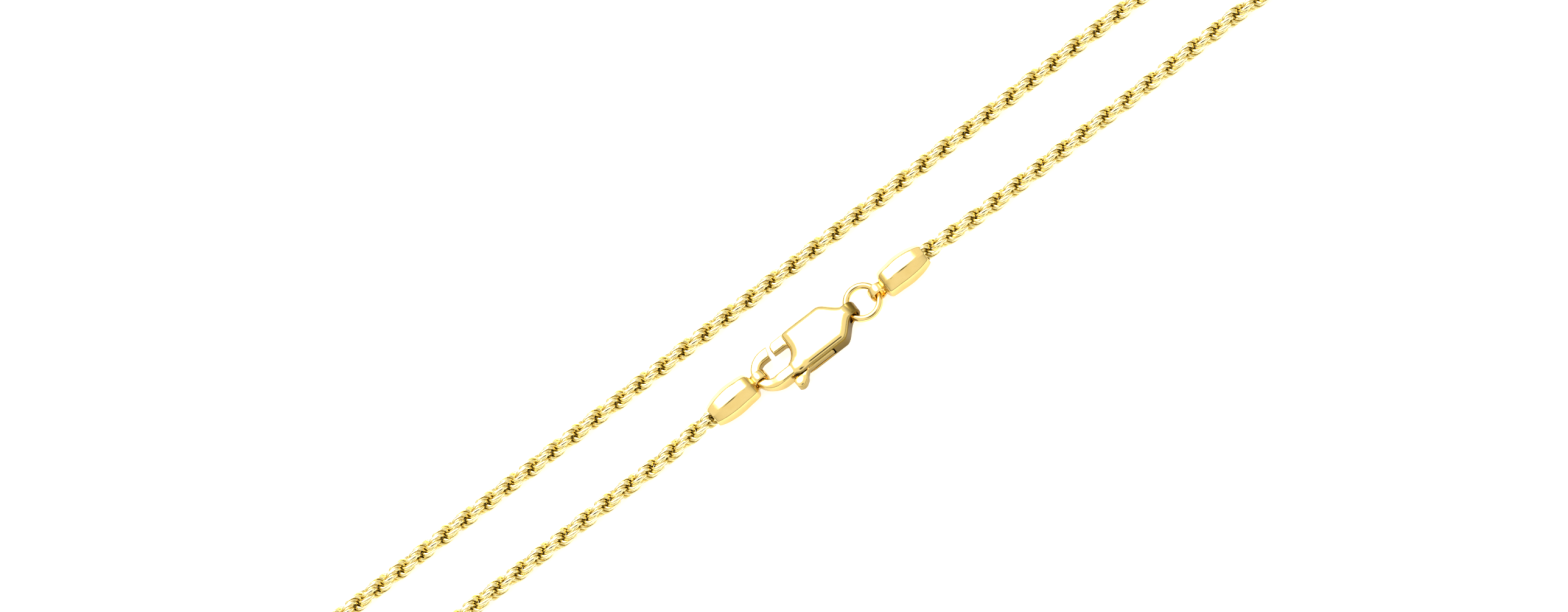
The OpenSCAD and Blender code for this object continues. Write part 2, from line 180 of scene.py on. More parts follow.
def make_piece(name, points, faces, material, body, nodes=()):
    """A mesh object from points in millimetres and an array, or arrays, of faces."""
    faces = faces if isinstance(faces, list) else [faces]
    mesh = bpy.data.meshes.new(name)
    mesh.from_pydata((np.asarray(points) * MM).tolist(), [],
                     [f for part in faces for f in part.tolist()])
    mesh.polygons.foreach_set("use_smooth", np.ones(len(mesh.polygons), bool))
    mesh.materials.append(material)
    mesh.update()
    piece = bpy.data.objects.new(name, mesh)
    bpy.context.scene.collection.objects.link(piece)
    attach(piece, body)
    if nodes:
        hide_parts(*nodes)
    return piece


def set_point_amount(piece, attribute, amount):
    """A number from 0 to 1 at each point of the piece, which its material reads: the diamond cut
    on the links, and the painted shade on the clasp and caps.
    """
    layer = piece.data.attributes.new(attribute, "FLOAT", "POINT")
    layer.data.foreach_set("value", np.asarray(amount, np.float32).reshape(-1))


def grid_faces(rows, cols, wrap_rows=False, wrap_cols=False):
    """Quads between the points of a grid that is stored row after row."""
    i, j = np.meshgrid(np.arange(rows if wrap_rows else rows - 1),
                       np.arange(cols if wrap_cols else cols - 1), indexing="ij")
    i2, j2 = (i + 1) % rows, (j + 1) % cols
    return np.stack([i * cols + j, i * cols + j2, i2 * cols + j2, i2 * cols + j], -1).reshape(-1, 4)


def skin(field, low, high, step):
    """The closed surface where field(x, y, z) is 0. The clasp's two castings are made this
    way, because their forms run into each other in fillets that no one grid follows.

    Space is cut into cubes of side step. Each cube that the surface crosses gets one point,
    the mean of the places where the surface crosses its edges. The four cubes round each
    crossed edge are joined by a face. Then each point p moves to p - f g / (g . g), with the
    field f and its slope g at p, until it lies on the surface.
    """
    axes = [np.arange(a - step, b + 2 * step, step) for a, b in zip(low, high)]
    v = field(axes[0][:, None, None], axes[1][None, :, None], axes[2][None, None, :])
    cells = tuple(n - 1 for n in v.shape)
    total, count = np.zeros(cells + (3,)), np.zeros(cells)
    inside, faces = v < 0, []

    def part(a, offset, shift):
        """The corners of all cubes at an offset, moved by shift along axis a."""
        index = [slice(o, o + n) for o, n in zip(offset, cells)]
        index[a] = slice(offset[a] + shift, offset[a] + shift + cells[a])
        return tuple(index)

    for a in range(3):
        b, c = (a + 1) % 3, (a + 2) % 3
        for ob, oc in ((0, 0), (1, 0), (0, 1), (1, 1)):
            offset = [0, 0, 0]
            offset[b], offset[c] = ob, oc
            v0, v1 = v[part(a, offset, 0)], v[part(a, offset, 1)]
            crossed = (v0 < 0) != (v1 < 0)
            place = np.zeros(cells + (3,)) + offset
            place[..., a] = np.where(crossed, v0 / np.where(v0 == v1, 1, v0 - v1), 0)
            total += place * crossed[..., None]
            count += crossed
    used = count > 0
    number = np.full(cells, -1)
    number[used] = np.arange(used.sum())
    where = np.argwhere(used)
    points = (where + total[used] / count[used][:, None]) * step + [a[0] for a in axes]
    for a in range(3):
        b, c = (a + 1) % 3, (a + 2) % 3
        start = [slice(None)] * 3
        end = [slice(None)] * 3
        start[a], end[a] = slice(0, -1), slice(1, None)
        rising = inside[tuple(start)] & ~inside[tuple(end)]
        falling = ~inside[tuple(start)] & inside[tuple(end)]
        for mask, order in ((rising, (0, 1, 2, 3)), (falling, (3, 2, 1, 0))):
            at = np.argwhere(mask)
            quad = []
            for db, dc in ((-1, -1), (0, -1), (0, 0), (-1, 0)):
                cell = at.copy()
                cell[:, b] += db
                cell[:, c] += dc
                quad.append(number[tuple(cell.T)])
            faces.append(np.stack(quad, 1)[:, order])
    h, least_slope, rounds = 0.01, 0.2, 4
    for _ in range(rounds):
        f = field(*points.T)
        slope = np.stack([field(*(points + h * e).T) - field(*(points - h * e).T)
                          for e in np.eye(3)], 1) / (2 * h)
        steep = np.maximum((slope ** 2).sum(1), least_slope)
        move = f[:, None] * slope / steep[:, None]
        points = points - np.clip(move, -step / 2, step / 2)
    return points, np.concatenate(faces)


# ---- Forms that the clasp is made of, as distances: below 0 inside, above 0 outside ----

def outline_distance(x, y, corners):
    """Distance to a closed outline: the least distance to its edges, below 0 inside it,
    which is where an odd number of edges lies to one side of the point."""
    best, within = np.inf, False
    for (ax, ay), (bx, by) in zip(corners, np.roll(corners, -1, 0)):
        ex, ey, wx, wy = bx - ax, by - ay, x - ax, y - ay
        t = np.clip((wx * ex + wy * ey) / (ex * ex + ey * ey), 0, 1)
        best = np.minimum(best, (wx - t * ex) ** 2 + (wy - t * ey) ** 2)
        above, below, left = y >= ay, y < by, ex * wy > ey * wx
        within = within ^ ((above & below & left) | (~above & ~below & ~left))
    return np.where(within, -1, 1) * np.sqrt(best)


def bar_distance(x, y, p, rp, q, rq):
    """Distance to two circles, of radius rp at p and rq at q, joined by their outer
    tangents: to the circle at p or at q past the ends of the tangent, else to the tangent."""
    px, py, (dx, dy) = x - p[0], y - p[1], np.subtract(q, p)
    h = dx * dx + dy * dy
    u, v = np.abs(px * dy - py * dx) / h, (px * dx + py * dy) / h
    b = rp - rq
    c = math.sqrt(h - b * b)
    k = c * v - b * u
    side, n = c * u + b * v, u * u + v * v
    return np.where(k < 0, np.sqrt(h * n) - rp,
                    np.where(k > c, np.sqrt(h * np.maximum(n + 1 - 2 * v, 0)) - rq, side - rp))


def slab(flat, off, edge):
    """A flat form with thickness: flat is the distance in its plane, off the distance to its
    two faces, and edge the radius that rounds the edge between them. It is the larger of
    the two, and past both the length of (flat + edge, off + edge), less edge."""
    a, b = flat + edge, off + edge
    return np.minimum(np.maximum(a, b), 0) + np.hypot(np.maximum(a, 0), np.maximum(b, 0)) - edge


def join(a, b, soft):
    """The lesser of two distances, with a fillet about as wide as soft where they meet:
    b + (a - b) h - soft h (1 - h), where h goes from 0 to 1 as b - a goes from -soft to
    soft."""
    h = np.clip(0.5 + 0.5 * (b - a) / soft, 0, 1)
    return b + (a - b) * h - soft * h * (1 - h)


def cut(a, b, soft):
    """Form a without form b, with the edge eased over a width of soft."""
    return -join(-a, b, soft)


def arc(centre, r, start, end, n=12):
    """Points centre + r (cos t, sin t) on a circle, from one angle to the other, in degrees."""
    t = np.radians(np.linspace(start, end, n + 1))
    return np.stack([centre[0] + r * np.cos(t), centre[1] + r * np.sin(t)], 1)


def ease(t):
    """0 below 0 and 1 above 1, with t t (3 - 2 t) between."""
    t = np.clip(t, 0, 1)
    return t * t * (3 - 2 * t)


def body_outline():
    """The clasp's plate from above: a square nose below, shoulders that narrow to the tail
    as half a cosine wave, a small nose above, and the throat as an arc."""
    h = BODY_W / 2
    s = np.linspace(0, 1, 17)
    y = TAIL_W / 2 + (h - TAIL_W / 2) * (1 + np.cos(np.pi * s)) / 2
    low = np.stack([TAIL_X + LOW_FULL - (SHOULDER_LEN - LOW_FULL) * (1 - s), -y], 1)
    high = np.stack([TAIL_X - SHOULDER_LEN * (1 - s), y], 1)[::-1]
    throat = (FACE_X - THROAT_R, HOOK_Y - HOOK_IN_R + THROAT_R)
    return np.concatenate([
        arc((FACE_X - NOSE_LEN + CORNER_R, CORNER_R - h), CORNER_R, 180, 270), low, high,
        arc((FACE_X + NOSE_R, h - NOSE_R), NOSE_R, 90, 180),
        arc(throat, THROAT_R, 0, -THROAT_TURN)])


def hook_outline():
    """The hook from above: the arm from a root inside the plate, half a circle outside, a
    stretch past the tip, where it is cut off later, and a smaller half circle inside."""
    root, past = FACE_X + 0.3, TIP_X + 0.6
    return np.concatenate([
        [(root, ARM_LOW)], arc((HOOK_X, HOOK_Y), HOOK_OUT_R, 270, 90, 28),
        [(past, GATE_TOP), (past, GATE_TOP - GATE_W)],
        arc((BEND_X, HOOK_Y), HOOK_IN_R, 90, 270, 20), [(root, HOOK_Y - HOOK_IN_R)]])


def lever_flat(x, y, grow):
    """The lever from above: gate, boss round the pin, stem with a guard that fills the slot
    beside it, as a ring sector round the pin cut flush with the body's side, and a
    drop-shaped thumb tab, as a row of circles joined by tangents. All is grown by grow."""
    head, root = (GATE_X + GATE_W / 2, GATE_Y), (FACE_X, GATE_Y)
    corner = np.maximum(np.abs(x - head[0]) - GATE_W / 2 - grow,
                        np.abs(y - GATE_Y + GATE_W / 4) - GATE_W / 4 - grow)
    dx, dy = x - PIN[0], y - PIN[1]
    turn = np.degrees(np.arctan2(dy, dx))
    off_turn = np.radians(np.abs(turn - GUARD_AT) - GUARD_SPAN / 2) * GUARD_R - grow
    off_ring = np.abs(np.hypot(dx, dy) - GUARD_R) - GUARD_W / 2 - grow / 2
    guard = np.maximum(off_ring, off_turn)
    stem = bar_distance(x, y, PIN, BOSS_R + grow, STEM_END, STEM_R + grow)
    flush = -BODY_W / 2 - y - grow
    gate = bar_distance(x, y, head, GATE_W / 2 + grow, root, GATE_W / 2 + grow - 0.001)
    flat = join(gate, np.maximum(join(stem, guard, STEM_FILLET), flush), LEVER_FILLET)
    neck = bar_distance(x, y, root, GATE_W / 2 + grow, PIN, BOSS_R + grow)
    tab = [(STEM_END, STEM_R)] + TAB_DROP_ROW
    drop = [bar_distance(x, y, p, r + grow, q, t + grow) for (p, r), (q, t) in zip(tab, tab[1:])]
    for part in [corner, neck] + drop:
        flat = join(flat, part, LEVER_FILLET)
    return flat


def slot_flat(x, y):
    """The room that the lever sweeps from shut to open, with its gap."""
    best = np.inf
    dx, dy = x - PIN[0], y - PIN[1]
    for turn in np.radians(np.arange(0, SWING + 1, SLOT_STEP)):
        c, s = math.cos(turn), math.sin(turn)
        back_x, back_y = PIN[0] + c * dx + s * dy, PIN[1] - s * dx + c * dy
        best = np.minimum(best, lever_flat(back_x, back_y, SLOT_GAP))
    return best


BODY_OUTLINE, HOOK_OUTLINE = body_outline(), hook_outline()


def pin_hole(x, y, z):
    """The blind hole that holds the pin, and the lever's hole round it."""
    return slab(np.hypot(x - PIN[0], y - PIN[1]) - PIN_R - PIN_GAP,
                np.abs(z) - PIN_LEN / 2 - PIN_GAP, 0.0)


def crowned(flat, thick, drop, width):
    """Half a thickness that falls towards the outline by drop x (1 - depth / width) squared."""
    return thick - drop * (1 - np.clip(-flat / width, 0, 1)) ** 2


def clasp_body_field(x, y, z):
    """Plate, hook and tail as one casting, cut by the lever's slot, the ring's hole and the
    pin's. The hook is thin at its bend and thickens along the arm to the body."""
    flat = outline_distance(x, y, BODY_OUTLINE)
    half = crowned(flat, BODY_T / 2, BODY_CROWN, BODY_CROWN_W)
    half = half - GATE_SLOPE * ease((FACE_X + GATE_SLOPE_FROM - x) / GATE_SLOPE_LEN)
    plate = slab(flat, np.abs(z) - half, BODY_EDGE)
    on_arm = ease((HOOK_Y - y) / HOOK_IN_R) * ease((x - HOOK_X + ARM_GROWS_FROM) / ARM_GROWS_LEN)
    thick = HOOK_T / 2 + (ARM_T + ARM_FULL - HOOK_T) / 2 * on_arm
    flat = outline_distance(x, y, HOOK_OUTLINE)
    hook = slab(flat, np.abs(z) - crowned(flat, thick, HOOK_CROWN, HOOK_CROWN_W), HOOK_SOFT_EDGE)
    slant = math.radians(TIP_SLANT)
    past_tip = (x - TIP_X) * math.cos(slant) + (GATE_TOP - y) * math.sin(slant)
    hook = cut(hook, np.maximum(-past_tip, HOOK_Y - y), TIP_EASE)
    off_tail = np.hypot(x - TAIL_X, z)
    tail = slab(off_tail - TAIL_OUT_R, np.abs(y) - TAIL_W / 2, TAIL_EDGE)
    solid = join(join(plate, hook, ARM_FILLET), tail, TAIL_FILLET)
    solid = cut(solid, off_tail - TAIL_HOLE_R, HOLE_EASE)
    slot = np.maximum(slot_flat(x, y), np.abs(z) - LEVER_T / 2 - SIDE_GAP)
    return cut(cut(solid, slot, SLOT_EASE), pin_hole(x, y, z), PIN_EASE)


def clasp_lever_field(x, y, z):
    """Gate, stem, guard and thumb tab. The gate's end is flat, the tab swells to a drop, and
    the stem is thinner than both where it runs inside the body."""
    flat = lever_flat(x, y, 0.0)
    swell = TAB_SWELL * ease(1.2 - np.hypot(x - TAB_END[0], y - TAB_END[1]) / TAB_R)
    above_side, below_gate = y + BODY_W / 2 + 0.1, GATE_Y - GATE_W - y
    inside = STEM_THINNER * ease(above_side / 0.2) * ease(below_gate / 0.2)
    half = crowned(flat, LEVER_T / 2 + swell - inside, LEVER_CROWN, LEVER_CROWN_W)
    lever = slab(flat, np.abs(z) - half, LEVER_EDGE)
    return cut(cut(lever, x - GATE_X, GATE_EASE), pin_hole(x, y, z), PIN_EASE)


def in_clasp(points):
    """From the clasp's own places to the loop's."""
    return points + [CLASP_X, CLASP_Y, MID_Z]


def sideways(piece):
    """1 on faces that look sideways, whose normal has z up to 0.3, falling to 0 at 0.8."""
    normal = np.empty(3 * len(piece.data.vertices), np.float32)
    piece.data.vertex_normals.foreach_get("vector", normal)
    return 1 - ease((np.abs(normal[2::3]) - 0.3) / 0.5)


# ---- Materials ----

def add_node(tree, kind, settings=(), links=()):
    """One node with its settings, by attribute or input name, and its incoming links."""
    node = tree.nodes.new(kind)
    for key, value in dict(settings).items():
        if isinstance(key, int) or key in node.inputs:
            node.inputs[key].default_value = value
        else:
            setattr(node, key, value)
    for key, source in dict(links).items():
        tree.links.new(source, node.inputs[key])
    return node


# The size of the hazy patches of the polish, and how much smoother and rougher it is without
# and with them. The marks of polishing are too fine to show, so the patches, and the ripples
# of each gold below, are drawn as coarse as they need to be to show
HAZE_SIZE, CLEAR, HAZY = 0.9, 0.75, 1.3


def gold(name, bright, deep, roughness, grain_mm, relief_mm, second=None):
    """Yellow gold of 14 karat: metallic and warm, a little deeper where its polish is hazy.
    grain_mm is the size of its ripples and relief_mm their height. second names a point
    attribute, with the colour and the roughness that the metal has where that is 1."""
    material = bpy.data.materials.new(name)
    material.use_nodes = True
    tree = material.node_tree
    shader = tree.nodes["Principled BSDF"]
    shader.inputs["Metallic"].default_value = 1.0
    place = add_node(tree, "ShaderNodeTexCoord")
    ripple = add_node(tree, "ShaderNodeTexNoise",
                      {"Scale": 1 / (grain_mm * MM), "Detail": 3.0, "Roughness": 0.55},
                      {"Vector": place.outputs["Object"]})
    haze = add_node(tree, "ShaderNodeTexNoise", {"Scale": 1 / (HAZE_SIZE * MM), "Detail": 3.0},
                    {"Vector": place.outputs["Object"]})
    tone = add_node(tree, "ShaderNodeMix", {"data_type": "RGBA"}, {0: haze.outputs["Fac"]})
    tone.inputs[6].default_value = linear(bright)
    tone.inputs[7].default_value = linear(deep)
    rough = add_node(tree, "ShaderNodeMapRange",
                     {"From Min": 0.3, "From Max": 0.7, "To Min": roughness * CLEAR,
                      "To Max": roughness * HAZY}, {"Value": haze.outputs["Fac"]})
    bump = add_node(tree, "ShaderNodeBump", {"Strength": 1.0, "Distance": relief_mm * MM},
                    {"Height": ripple.outputs["Fac"]})
    colour_out, rough_out = tone.outputs[2], rough.outputs["Result"]
    if second:
        attribute, colour, smoothness = second
        flag = add_node(tree, "ShaderNodeAttribute", {"attribute_name": attribute})
        mixed = add_node(tree, "ShaderNodeMix", {"data_type": "RGBA"},
                         {0: flag.outputs["Fac"], 6: colour_out})
        mixed.inputs[7].default_value = linear(colour)
        blend = add_node(tree, "ShaderNodeMapRange", {"To Max": smoothness},
                         {"Value": flag.outputs["Fac"], "To Min": rough_out})
        colour_out, rough_out = mixed.outputs[2], blend.outputs["Result"]
    tree.links.new(colour_out, shader.inputs["Base Color"])
    tree.links.new(rough_out, shader.inputs["Roughness"])
    tree.links.new(bump.outputs["Normal"], shader.inputs["Normal"])
    return material


# Fine drawn wire, bent and soldered: satin between the links, and bright where a diamond
# tool has cut the rope's outside to one round
LINK_GOLD = gold("drawn_and_diamond_cut_gold_wire", "#FAE8A8", "#EEDA8E", 0.17, 0.2, 0.003,
                 ("cut", "#FCEDB8", 0.09))
# Stamped sheet, polished on a wheel: broad soft ripples; on the sides and at the neck, rougher
# where the wheel can't reach, with a darker colour painted there as shade
CAP_GOLD = gold("stamped_and_wheel_polished_gold", "#FDE196", "#F3D07A", 0.12, 0.55, 0.006,
                ("rough_and_painted_shade", "#B09040", 0.3))
# Cast, then tumbled: on the sides, inside the hook and on the tail, rougher where tumbling leaves
# the casting's skin, with a darker olive colour painted there as shade
CAST_GOLD = gold("cast_and_tumbled_gold", "#FDE196", "#F6D67E", 0.11, 0.5, 0.005,
                 ("rough_and_painted_shade", "#745C1C", 0.32))
# Round wire, bent, soldered and buffed all over: a clear bright line along it
RING_GOLD = gold("polished_round_gold_wire", "#FDE196", "#F3D07A", 0.10, 0.5, 0.004)
# Drawn wire, cut off and left as it is: evenly satin
PIN_GOLD = gold("plain_drawn_gold_pin", "#E9C878", "#DDB85F", 0.25, 0.2, 0.002)


# ---- The rope: its route and its links ----

def quarter_route():
    """One quarter of the loop, from the middle of the far strand to the loop's right end."""
    half, lobe = STRAND_GAP / 2, LOBE_W / 2
    return np.array(
        [(STRAIGHT_LEN / 2 * i / STRAIGHT_STEPS, half) for i in range(STRAIGHT_STEPS + 1)]
        + [(STRAIGHT_LEN / 2 + LOBE_LEN * s, half + (lobe - half) * w) for s, w in SPREAD]
        + [(STRAIGHT_LEN / 2 + LOBE_LEN * s, lobe * w) for s, w in TURN])


def rise(mouth, inward):
    """From its seat in a cap, inward of the mouth, the rope comes down to the floor in half
    a cosine wave."""
    s = np.linspace(0, 1, RISE_STEPS + 1)
    out = -1 if inward[0] > 0 else 1
    down = np.stack([mouth[0] + out * RISE_LEN * s, mouth[1] + 0 * s,
                     ROPE_D / 2 + (CAP_Z - ROPE_D / 2) * (1 + np.cos(np.pi * s)) / 2], 1)
    return np.concatenate([[mouth + ROPE_SEAT * inward], down])


def rope_route():
    """The rope's middle line, from its end in one cap round the loop to its end in the other."""
    q = quarter_route()

    def lying(points, sx, sy):
        """A quarter mirrored to its side, half the rope's width above the floor."""
        height = np.full(len(points), ROPE_D / 2)
        return np.column_stack([sx * points[:, 0], sy * points[:, 1], height])

    turn = math.radians(CAP_TURN)
    near = -STRAND_GAP / 2
    hook_mouth = np.array([CLASP_X + HOOK_EYE[0] - MOUTH_X * math.cos(turn), near, CAP_Z])
    ring_mouth = np.array([CLASP_X + RING_EYE[0] + MOUTH_X, near, CAP_Z])
    return np.concatenate([
        rise(ring_mouth, np.array([-1.0, 0, 0])), lying(q[NEAR_SKIP:], 1, -1),
        lying(q[::-1][1:], 1, 1), lying(q[1:], -1, 1), lying(q[NEAR_SKIP:][::-1][1:], -1, -1),
        rise(hook_mouth, np.array([math.cos(turn), math.sin(turn), 0.0]))[::-1]])


def smooth_line(points, step):
    """A curve through the points, with straight ends: between two points a cubic whose second
    slopes m solve h[i-1] m[i-1] + 2 (h[i-1] + h[i]) m[i] + h[i] m[i+1] = 6 (change of slope),
    read at equal steps along its length."""
    h = np.linalg.norm(np.diff(points, axis=0), axis=1)
    n = len(points)
    a, b = np.eye(n), np.zeros((n, 3))
    i = np.arange(1, n - 1)
    a[i, i - 1], a[i, i], a[i, i + 1] = h[i - 1], 2 * (h[i - 1] + h[i]), h[i]
    slope = np.diff(points, axis=0) / h[:, None]
    b[i] = 6 * (slope[i] - slope[i - 1])
    m = np.linalg.solve(a, b)
    at = np.concatenate([[0], np.cumsum(h)])
    fine = np.linspace(0, at[-1], 40 * n)
    k = np.clip(np.searchsorted(at, fine, side="right") - 1, 0, n - 2)
    hk, u, w = h[k][:, None], (at[k + 1] - fine)[:, None], (fine - at[k])[:, None]
    line = (m[k] * u ** 3 + m[k + 1] * w ** 3) / (6 * hk) + (
        points[k] / hk - m[k] * hk / 6) * u + (points[k + 1] / hk - m[k + 1] * hk / 6) * w
    run = np.concatenate([[0], np.cumsum(np.linalg.norm(np.diff(line, axis=0), axis=1))])
    count = int(round(run[-1] / step)) + 1
    even = np.linspace(0, run[-1], count)
    return np.stack([np.interp(even, run, line[:, j]) for j in range(3)], 1)


def link_wire():
    """One C link at the rope's middle, which runs along Z. Its circle lies in a plane whose
    normal is (0, sin lean, cos lean) and is pushed out along X; round it goes a wire of
    WIRE_SIDES sides with a flat outwards, open at its gap. The steps round the circle are
    in proportion to 1 / (1 + SIDES_OUTSIDE cos t), so they are closer on the outside."""
    lean = math.radians(LINK_LEAN)
    normal = np.array([0, math.sin(lean), math.cos(lean)])
    across = np.array([0, math.cos(lean), -math.sin(lean)])
    gap = LINK_GAP_AT + np.array([LINK_GAP / 2, 360 - LINK_GAP / 2])
    fine = np.radians(np.linspace(gap[0], gap[1], 361))
    run = np.cumsum(1 + SIDES_OUTSIDE * np.cos(fine))
    t = np.interp(np.linspace(run[0], run[-1], LINK_SIDES + 1), run, fine)
    out = np.cos(t)[:, None] * [1.0, 0, 0] + np.sin(t)[:, None] * across
    w = 2 * np.pi * (np.arange(WIRE_SIDES) + 0.5) / WIRE_SIDES
    ring = LINK_R * out + [LINK_OUT, 0, 0]
    wide = 1 + WIRE_WIDER * (1 + np.cos(t)) / 2
    return (ring[:, None] + WIRE_D / 2 * (
        np.cos(w)[None, :, None] * out[:, None]
        + wide[:, None, None] * np.sin(w)[None, :, None] * normal)).reshape(-1, 3)


def rope_links():
    """Every link is the same C, moved one step along the rope and turned half a turn and
    LINK_TURN degrees more about it than the last, so that each is held by the links before
    and after it. What stands past CUT_R is cut off to it, which gives the outside its
    bright flats: with k = (CUT_R - r) / CUT_SOFT, r becomes CUT_R - CUT_SOFT log(1 + e^k).
    The middle line is kept CUT_R above the floor, so that the links stand on it. The second
    result is 1 where the tool has cut and 0 where it hasn't."""
    step = HALF_TURN_LEN * LINK_TURN / 180
    line = smooth_line(rope_route(), step)
    line[:, 2] = np.maximum(line[:, 2], CUT_R)
    ahead = np.gradient(line, axis=0)
    ahead /= np.linalg.norm(ahead, axis=1)[:, None]
    side = np.cross(ahead, [0.0, 0, 1])
    side /= np.linalg.norm(side, axis=1)[:, None]
    up = np.cross(side, ahead)
    one = link_wire()
    turn = np.arange(len(line)) * math.radians(180 + LINK_TURN)
    c, s = np.cos(turn)[:, None], np.sin(turn)[:, None]
    u, v = one[:, 0] * c - one[:, 1] * s, one[:, 0] * s + one[:, 1] * c
    r = np.hypot(u, v)
    keep = (CUT_R - CUT_SOFT * np.log1p(np.exp((CUT_R - r) / CUT_SOFT))) / r
    u, v = u * keep, v * keep
    points = (line[:, None] + u[..., None] * side[:, None] + v[..., None] * up[:, None]
              + one[:, 2][None, :, None] * ahead[:, None])
    return points, ease((r - CUT_R) / CUT_SOFT)


def link_faces():
    """The quads of one link, and a face over each end of its wire."""
    sides = grid_faces(LINK_SIDES + 1, WIRE_SIDES, wrap_cols=True)
    first = np.arange(WIRE_SIDES)[None, ::-1]
    last = np.arange(WIRE_SIDES)[None] + LINK_SIDES * WIRE_SIDES
    return sides, np.concatenate([first, last])


# The links are joined to four meshes, a quarter of the rope each, so that none is too heavy
points, was_cut = rope_links()
sides, ends = link_faces()
PARTS = ("near_strand_ring_side", "far_strand_ring_side", "far_strand_hook_side",
         "near_strand_hook_side")
for name, mine, flags in zip(PARTS, np.array_split(points, 4), np.array_split(was_cut, 4)):
    each = np.arange(len(mine))[:, None, None] * points.shape[1]
    piece = make_piece("links_" + name, mine.reshape(-1, 3),
                       [(sides[None] + each).reshape(-1, 4),
                        (ends[None] + each).reshape(-1, WIRE_SIDES)],
                       LINK_GOLD, "necklace", ["rope_chain"])
    set_point_amount(piece, "cut", flags)


# ---- The clasp and its ring ----

def casting_painted_shade(points, side):
    """Where tumbling leaves the casting's skin, rougher, with a darker colour painted as shade: a
    third of it on the hook's outer side, four fifths inside the hook, all of it on the body's
    sides, and nearly all over the tail."""
    x, y = points[:, 0], points[:, 1]
    on_body = ease((x - FACE_X + 1.2) / 0.6)
    off_room = bar_distance(x, y, (BEND_X, HOOK_Y), HOOK_IN_R, (FACE_X, HOOK_Y), HOOK_IN_R)
    in_hook = ease(1.2 - off_room / 0.1)
    on_sides = (0.35 + 0.65 * np.maximum(on_body, 0.7 * in_hook)) * side
    return np.maximum(on_sides, 0.95 * ease((x - TAIL_X + 0.3) / 0.5))


# The box that holds each casting, in its own places
low = (HOOK_X - HOOK_OUT_R, -BODY_W / 2 - 0.1, -BODY_T / 2)
high = (TAIL_X + TAIL_OUT_R, GATE_TOP, BODY_T / 2)
points, faces = skin(clasp_body_field, low, high, CASTING_CUBE)
piece = make_piece("clasp_casting", in_clasp(points), faces, CAST_GOLD, "necklace",
                   ["clasp_body"])
# Painted shade: the casting is darker, and rougher, on its sides, inside the hook and on the tail
set_point_amount(piece, "rough_and_painted_shade", casting_painted_shade(points, sideways(piece)))

low = (GATE_X - 0.1, TAB_END[1] - TAB_R, -LEVER_T / 2 - 0.1)
high = (PIN[0] + GUARD_R / 2, GATE_TOP, LEVER_T / 2 + 0.1)
points, faces = skin(clasp_lever_field, low, high, LEVER_CUBE)
piece = make_piece("clasp_gate_and_tab", in_clasp(points), faces, CAST_GOLD, "lever",
                   ["clasp_lever"])
# Painted shade: the lever is darker, and rougher, on its sides
set_point_amount(piece, "rough_and_painted_shade", 0.75 * sideways(piece))


def ring_points(rows, cols):
    """A round wire bent to a circle: (R + r cos w) round Z, r sin w up, then tilted about X."""
    t, w = np.meshgrid(np.linspace(0, 2 * np.pi, rows, endpoint=False),
                       np.linspace(0, 2 * np.pi, cols, endpoint=False), indexing="ij")
    r = RING_R + WIRE_R * np.cos(w)
    x, y, z = r * np.cos(t), r * np.sin(t), WIRE_R * np.sin(w)
    a = math.radians(RING_TILT)
    return np.stack([x + RING_X, y * math.cos(a) - z * math.sin(a),
                     y * math.sin(a) + z * math.cos(a)], -1).reshape(-1, 3)


make_piece("soldered_jump_ring", in_clasp(ring_points(RING_STEPS, RING_SIDES)),
           grid_faces(RING_STEPS, RING_SIDES, True, True)[:, ::-1], RING_GOLD, "necklace",
           ["jump_ring"])


# ---- The end caps ----

def cap_sections():
    """Place along the cap, radius to the ridges and height of the middle, from the neck
    through the widest place to the mouth. Both ends are rounded: the neck is a little fuller
    than a straight taper and closes over NECK_ROUND, and over its last MOUTH_ROUND the mouth
    closes to the rim, each as a quarter of an ellipse. Nothing goes below the floor."""
    neck_r, cap_r = CAP_NECK_W / 2 / FLAT, CAP_W / 2 / FLAT
    mouth_r = (BORE_R + MOUTH_WALL) / FLAT
    drop = CAP_Z - MID_Z
    table = np.array(
        [(NECK_X + (WIDE_X - NECK_X) * s, neck_r + (cap_r - neck_r) * g, CAP_Z - drop * d)
         for s, g, d in FLARE]
        + [(WIDE_X + (MOUTH_X - WIDE_X) * s, mouth_r + (cap_r - mouth_r) * g, CAP_Z)
           for s, g in TAPER])
    x, r, z = smooth_line(table, CAP_STEP).T
    r = r + NECK_FULL * (1 - ease((x - NECK_X) / NECK_FULL_LEN))
    ends = np.sin(np.pi / 2 * np.linspace(0, 1, END_STEPS + 1))
    middle = x[(x > NECK_X + NECK_ROUND) & (x < MOUTH_X - MOUTH_ROUND)]
    fine = np.concatenate([NECK_X + NECK_ROUND * (1 - ends[::-1]), middle,
                           MOUTH_X - MOUTH_ROUND * (1 - ends)])
    r, z = np.interp(fine, x, r), np.interp(fine, x, z)
    z = np.maximum(z, r * FLAT)
    shut = np.clip((NECK_X + NECK_ROUND - fine) / NECK_ROUND, 0, 1)
    r = r * (NECK_END + (1 - NECK_END) * np.sqrt(1 - shut ** 2))
    deep = np.clip((fine - MOUTH_X + MOUTH_ROUND) / MOUTH_ROUND, 0, 1)
    return np.stack([fine, RIM_R + (r - RIM_R) * np.sqrt(1 - deep ** 2), z], 1)


def octagon():
    """Directions round one section: on the flat that faces a, the points
    (cos a - u h sin a, sin a + u h cos a) with h = tan 22.5 degrees and u from -1 to 1. Some
    are near its ends, so that it shades flat, and the share left off rounds the ridges."""
    u = FLAT_POINTS * (1 - RIDGE_SHARE)
    half = math.tan(math.radians(22.5))
    a = np.radians(np.arange(8) * 45)[:, None]
    y = (np.cos(a) - np.sin(a) * u * half).reshape(-1)
    z = (np.sin(a) + np.cos(a) * u * half).reshape(-1)
    return y * FLAT, z * FLAT


